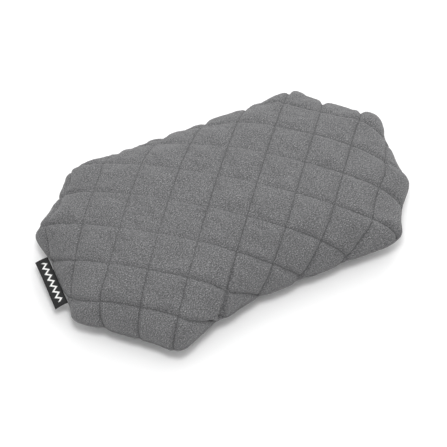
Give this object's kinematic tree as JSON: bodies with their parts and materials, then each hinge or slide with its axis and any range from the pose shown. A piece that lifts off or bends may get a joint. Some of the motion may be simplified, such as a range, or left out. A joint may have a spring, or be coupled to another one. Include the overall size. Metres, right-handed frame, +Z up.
{
  "type": "camp pillow",
  "caption": "Inflatable camp pillow: welded air bladder with a capped flap valve inside a square-quilted cover with a zipper in its side wall and a folded woven label.",
  "frame": {"origin": "on the surface the pillow rests on, under the crown of the quilted top", "axes": "+X along the pillow away from the end with the woven label, +Y towards the zipped long side, +Z up"},
  "size_m": [0.5847, 0.3544, 0.104],
  "materials": {
    "heather_grey_knit": "matte melange knit",
    "plain_grey_polyester": "matte plain weave",
    "polyester_wadding": "matte",
    "lining_scrim": "matte",
    "seam_thread": "matte",
    "black_woven_ribbon": "satin",
    "white_care_satin": "satin",
    "zipper_tape": "matte",
    "nylon_coil": "semi-gloss",
    "enamelled_zinc": "semi-gloss",
    "coated_polyester": "satin coated",
    "valve_tpu": "matte",
    "valve_silicone": "matte"
  },
  "bodies": {
    "pillow": {"cover_top_face": "heather_grey_knit", "quilt_batting": "polyester_wadding", "quilt_lining": "lining_scrim", "cover_underside": "plain_grey_polyester", "perimeter_seam": "seam_thread", "woven_label": "black_woven_ribbon", "care_label": "white_care_satin", "zipper_tape_upper": "zipper_tape", "zipper_tape_lower": "zipper_tape", "zipper_coil_upper": "nylon_coil", "zipper_coil_lower": "nylon_coil", "zipper_top_stop_upper": "enamelled_zinc", "zipper_top_stop_lower": "enamelled_zinc", "zipper_bottom_stop": "enamelled_zinc", "bladder_top_sheet": "coated_polyester", "bladder_bottom_sheet": "coated_polyester", "baffle_near": "coated_polyester", "baffle_far": "coated_polyester", "valve_body": "valve_tpu", "valve_port_eyelet": "valve_tpu", "valve_collar": "valve_tpu"},
    "slider": {"zipper_slider": "enamelled_zinc"},
    "pull": {"zipper_pull": "enamelled_zinc"},
    "cap": {"valve_cap": "valve_tpu"},
    "flap": {"valve_flap": "valve_silicone"}
  },
  "joints": [
    {"name": "zip_travel", "type": "slide", "parent": "pillow", "child": "slider", "axis": [-1, 0, 0], "range_m": [0, 0.245]},
    {"name": "pull_swing", "type": "hinge", "parent": "slider", "child": "pull", "pos_m": [0.1352, 0.16528, 0.01855], "axis": [1, 0, 0], "range_deg": [-35, 110]},
    {"name": "valve_cap_hinge", "type": "hinge", "parent": "pillow", "child": "cap", "pos_m": [0.2698, 0.00847, 0.01674], "axis": [-0.1146, -0.9934, 0], "range_deg": [0, 150]},
    {"name": "valve_flap_hinge", "type": "hinge", "parent": "pillow", "child": "flap", "pos_m": [0.25717, 0.00992, 0.02315], "axis": [0.1146, 0.9934, 0], "range_deg": [0, 20], "stiffness_Nm_per_rad": 0.0005, "springref_deg": -5.73}
  ]
}
